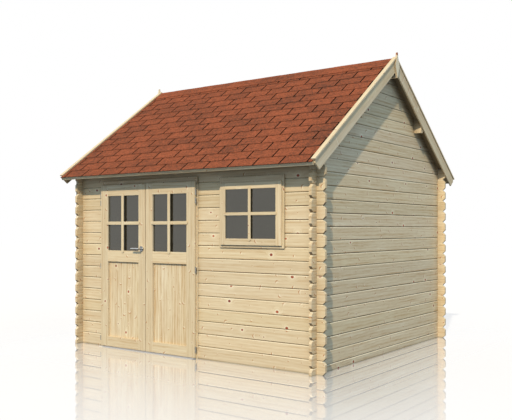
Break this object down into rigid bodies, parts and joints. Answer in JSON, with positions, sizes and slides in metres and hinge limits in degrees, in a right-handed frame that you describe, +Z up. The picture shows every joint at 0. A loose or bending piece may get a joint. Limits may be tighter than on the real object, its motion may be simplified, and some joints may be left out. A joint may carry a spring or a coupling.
{
  "type": "garden shed",
  "caption": "Gable-roofed garden shed of interlocking logs with a glazed double door, a fixed window and a shingle roof; its door leaves swing out and the lever handle turns.",
  "frame": {"origin": "on the ground, under the middle of the shed's box", "axes": "+X to the right along the front as seen from outside, +Y from the front to the back, +Z up"},
  "size_m": [3.234, 3.1296, 2.9866],
  "materials": {
    "log_wood": "planed untreated softwood",
    "roof_wood": "sawn untreated softwood",
    "trim_wood": "planed untreated softwood",
    "joinery_wood": "planed untreated softwood",
    "shingle": "mineral-surfaced bitumen",
    "glass": "clear float glass",
    "hinge_steel": "zinc plated",
    "handle_chrome": "polished"
  },
  "bodies": {
    "shed": {"front_wall_left": "log_wood", "front_wall_right": "log_wood", "front_wall_top": "log_wood", "back_wall": "log_wood", "right_gable_wall": "log_wood", "left_gable_wall": "log_wood", "ridge_purlin": "roof_wood", "front_purlin": "roof_wood", "back_purlin": "roof_wood", "front_roof_boards": "roof_wood", "back_roof_boards": "roof_wood", "front_eave_board": "roof_wood", "back_eave_board": "roof_wood", "right_finial": "trim_wood", "left_finial": "trim_wood", "right_front_barge_board": "trim_wood", "right_front_verge_lath": "trim_wood", "left_front_barge_board": "trim_wood", "left_front_verge_lath": "trim_wood", "right_back_barge_board": "trim_wood", "right_back_verge_lath": "trim_wood", "left_back_barge_board": "trim_wood", "left_back_verge_lath": "trim_wood", "front_shingles": "shingle", "back_shingles": "shingle", "ridge_cap": "shingle", "door_head": "joinery_wood", "left_door_jamb": "joinery_wood", "right_door_jamb": "joinery_wood", "window_casing": "joinery_wood", "window_sash": "joinery_wood", "left_jamb_hinges": "hinge_steel", "right_jamb_hinges": "hinge_steel", "window_glass": "glass"},
    "left_leaf": {"left_leaf_frame": "joinery_wood", "left_leaf_panel": "joinery_wood", "left_leaf_glass": "glass", "left_leaf_hinges": "hinge_steel", "handle_roses": "handle_chrome"},
    "right_leaf": {"right_leaf_frame": "joinery_wood", "right_leaf_panel": "joinery_wood", "right_leaf_glass": "glass", "right_leaf_hinges": "hinge_steel"},
    "lever": {"lever_handle": "handle_chrome"}
  },
  "joints": [
    {"name": "left_leaf_hinge", "type": "hinge", "parent": "shed", "child": "left_leaf", "pos_m": [-1.147, -1.377, 0], "axis": [0, 0, -1], "range_deg": [0, 165]},
    {"name": "right_leaf_hinge", "type": "hinge", "parent": "shed", "child": "right_leaf", "pos_m": [0.175, -1.377, 0], "axis": [0, 0, 1], "range_deg": [0, 165]},
    {"name": "lever_turn", "type": "hinge", "parent": "left_leaf", "child": "lever", "pos_m": [-0.537, -1.365, 1.041], "axis": [0, -1, 0], "range_deg": [0, 40], "stiffness_Nm_per_rad": 1, "springref_deg": -28.65}
  ]
}
